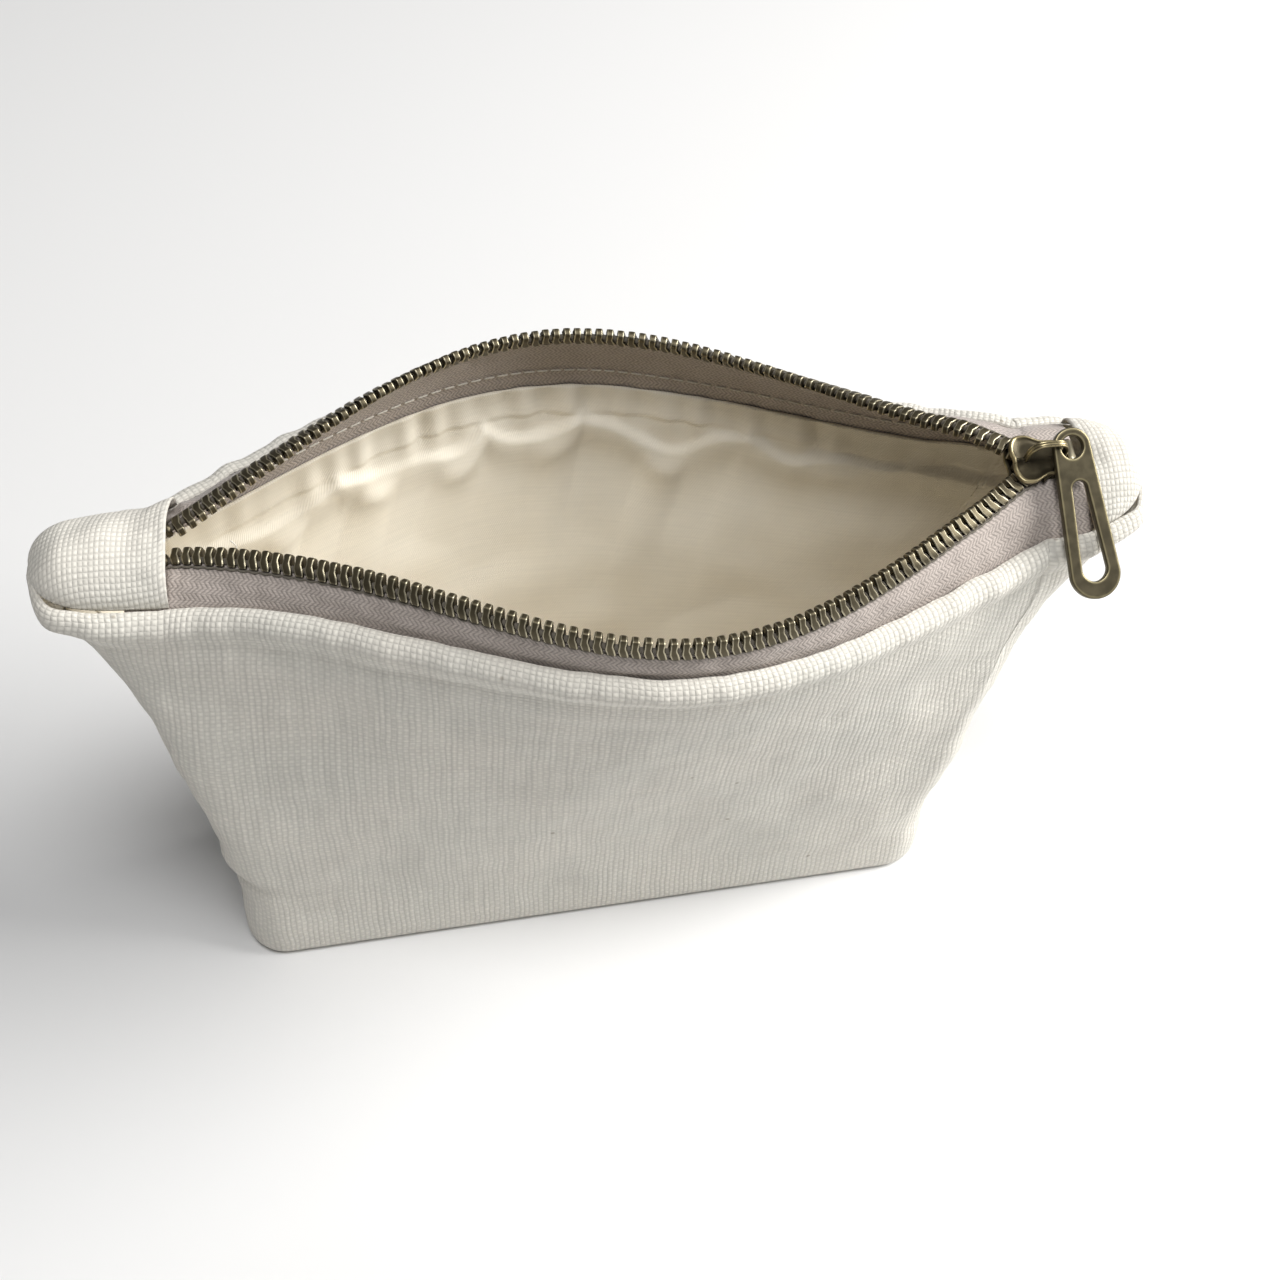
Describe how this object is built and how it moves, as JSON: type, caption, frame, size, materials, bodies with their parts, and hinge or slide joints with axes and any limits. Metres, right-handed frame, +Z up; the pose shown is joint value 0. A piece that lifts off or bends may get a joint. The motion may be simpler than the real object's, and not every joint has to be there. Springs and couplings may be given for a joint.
{
  "type": "zipped canvas pouch",
  "caption": "Small lined canvas pouch with a boxed base, standing open: a lens-shaped mouth edged by a metal zip, with its slider and long pull tab at one end.",
  "frame": {"origin": "middle of the flat base, on the surface that the pouch stands on", "axes": "+X along the zip from its closed end to the slider's end, -Y towards the front panel, +Z up"},
  "size_m": [0.244, 0.1003, 0.1402],
  "materials": {
    "canvas": "heavy natural cotton canvas, plain weave",
    "lining": "cream cotton sateen",
    "zip_tape": "grey-mauve herringbone zip tape",
    "tape_cord": "twisted cotton cord",
    "thread": "spun sewing thread",
    "zip_teeth": "antique brass, worn bright on the edges",
    "slider": "antique brass, worn bright on the rims",
    "pull": "antique brass, brushed faces and dark edges"
  },
  "bodies": {
    "pouch": {"outer_front": "canvas", "outer_back": "canvas", "lining_front": "lining", "lining_back": "lining", "zip_tape_front": "zip_tape", "zip_tape_back": "zip_tape", "tape_cord_front": "tape_cord", "tape_cord_back": "tape_cord", "teeth_front": "zip_teeth", "teeth_back": "zip_teeth", "top_stop_front": "zip_teeth", "top_stop_back": "zip_teeth", "bottom_stop": "zip_teeth", "end_tab_left": "canvas", "end_tab_right": "canvas", "zip_stitches_front": "thread", "zip_stitches_back": "thread", "side_stitches_left": "thread", "side_stitches_right": "thread", "base_stitches": "thread", "corner_stitches_left": "thread", "corner_stitches_right": "thread", "lining_stitches_left": "thread", "lining_stitches_right": "thread", "lining_base_stitches": "thread"},
    "slider": {"slider_body": "slider", "slider_bridge": "slider"},
    "pull": {"pull_tab": "pull"}
  },
  "joints": [
    {"name": "slider_travel", "type": "slide", "parent": "pouch", "child": "slider", "axis": [-0.9999, 0.0085, -0.0056], "range_m": [0, 0.1775], "deforming": ["outer_front", "outer_back", "lining_front", "lining_back", "zip_tape_front", "zip_tape_back", "tape_cord_front", "tape_cord_back", "teeth_front", "teeth_back", "zip_stitches_front", "zip_stitches_back", "side_stitches_left", "side_stitches_right", "base_stitches", "corner_stitches_left", "corner_stitches_right", "lining_stitches_left", "lining_stitches_right", "lining_base_stitches"]},
    {"name": "pull_lift", "type": "hinge", "parent": "slider", "child": "pull", "pos_m": [0.1049, -0.00313, 0.13667], "axis": [-1, 0, 0], "range_deg": [0, 60]}
  ]
}
